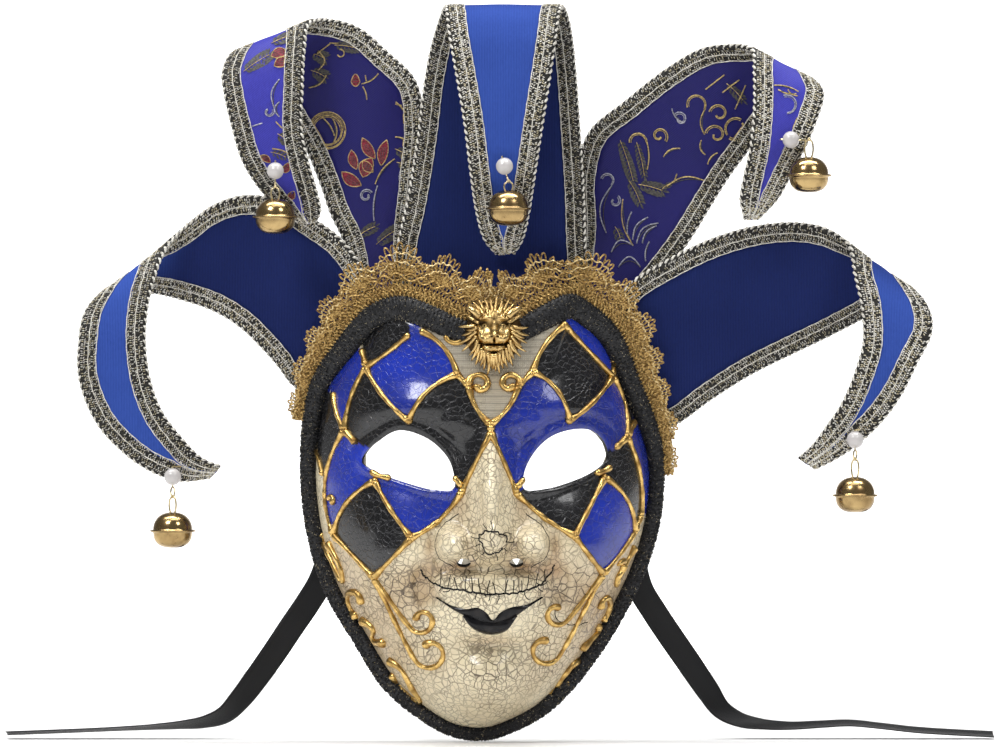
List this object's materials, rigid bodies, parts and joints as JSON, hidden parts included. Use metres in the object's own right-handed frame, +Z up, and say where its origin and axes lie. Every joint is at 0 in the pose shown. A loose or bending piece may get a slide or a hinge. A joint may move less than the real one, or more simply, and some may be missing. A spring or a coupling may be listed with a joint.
{
  "type": "full-face jester carnival mask",
  "caption": "Full-face carnival mask with a crackle-painted face, gilt harlequin diamonds, lace and braid rim, lion medallion, curling belled cloth horns and satin tie ribbons.",
  "frame": {"origin": "between the eye holes at the depth of the mask's back edge, where the wearer's face comes to rest", "axes": "+X to the right as seen from the front, +Y into the wearer's face, +Z up"},
  "size_m": [0.4702, 0.0882, 0.3471],
  "materials": {
    "face_paint": "cream crackle lacquer with glossy blue and black harlequin cells",
    "gilt": "raised gold paste lines",
    "knit": "black knitted braid",
    "lace": "two-tone metallic gold yarn",
    "blue_cloth": "ribbed royal blue cloth",
    "brocade": "violet-blue satin brocade with gold scrolls",
    "horn_braid": "black, silver and pale gold gimp",
    "brass": "antiqued brass",
    "pearl": "white bead with a soft sheen",
    "wire": "bright plated wire",
    "satin": "black satin"
  },
  "bodies": {
    "mask": {"face_shell": "face_paint", "gilt_lattice": "gilt", "rim_scroll_left_1": "gilt", "rim_scroll_left_2": "gilt", "rim_scroll_left_3": "gilt", "rim_scroll_left_4": "gilt", "rim_scroll_right_1": "gilt", "rim_scroll_right_2": "gilt", "rim_scroll_right_3": "gilt", "rim_scroll_right_4": "gilt", "rim_braid": "knit", "lace": "lace", "medallion": "brass", "horn_centre": "blue_cloth", "braid_centre": "horn_braid", "pearl_centre": "pearl", "pin_centre": "wire", "horn_upper_left": "brocade", "braid_upper_left": "horn_braid", "pearl_upper_left": "pearl", "pin_upper_left": "wire", "horn_upper_right": "brocade", "braid_upper_right": "horn_braid", "pearl_upper_right": "pearl", "pin_upper_right": "wire", "horn_lower_left": "blue_cloth", "braid_lower_left": "horn_braid", "pearl_lower_left": "pearl", "pin_lower_left": "wire", "horn_lower_right": "blue_cloth", "braid_lower_right": "horn_braid", "pearl_lower_right": "pearl", "pin_lower_right": "wire", "ribbon_left": "satin", "ribbon_right": "satin"},
    "bell_centre": {"bell_centre": "brass"},
    "bell_upper_left": {"bell_upper_left": "brass"},
    "bell_upper_right": {"bell_upper_right": "brass"},
    "bell_lower_left": {"bell_lower_left": "brass"},
    "bell_lower_right": {"bell_lower_right": "brass"}
  },
  "joints": [
    {"name": "bell_centre_swing", "type": "hinge", "parent": "mask", "child": "bell_centre", "pos_m": [0.0106, -0.0556, 0.1344], "axis": [0, 1, 0], "range_deg": [-40, 34]},
    {"name": "bell_upper_left_swing", "type": "hinge", "parent": "mask", "child": "bell_upper_left", "pos_m": [-0.0988, -0.036, 0.1323], "axis": [0, 1, 0], "range_deg": [-55, 55]},
    {"name": "bell_upper_right_swing", "type": "hinge", "parent": "mask", "child": "bell_upper_right", "pos_m": [0.1514, -0.038, 0.1546], "axis": [0, 1, 0], "range_deg": [-60, 15]},
    {"name": "bell_lower_left_swing", "type": "hinge", "parent": "mask", "child": "bell_lower_left", "pos_m": [-0.147, -0.035, -0.0129], "axis": [0.5736, 0.8192, 0], "range_deg": [-60, 60]},
    {"name": "bell_lower_right_swing", "type": "hinge", "parent": "mask", "child": "bell_lower_right", "pos_m": [0.1732, -0.0352, 0.0047], "axis": [0.5736, 0.8192, 0], "range_deg": [-60, 40]}
  ]
}
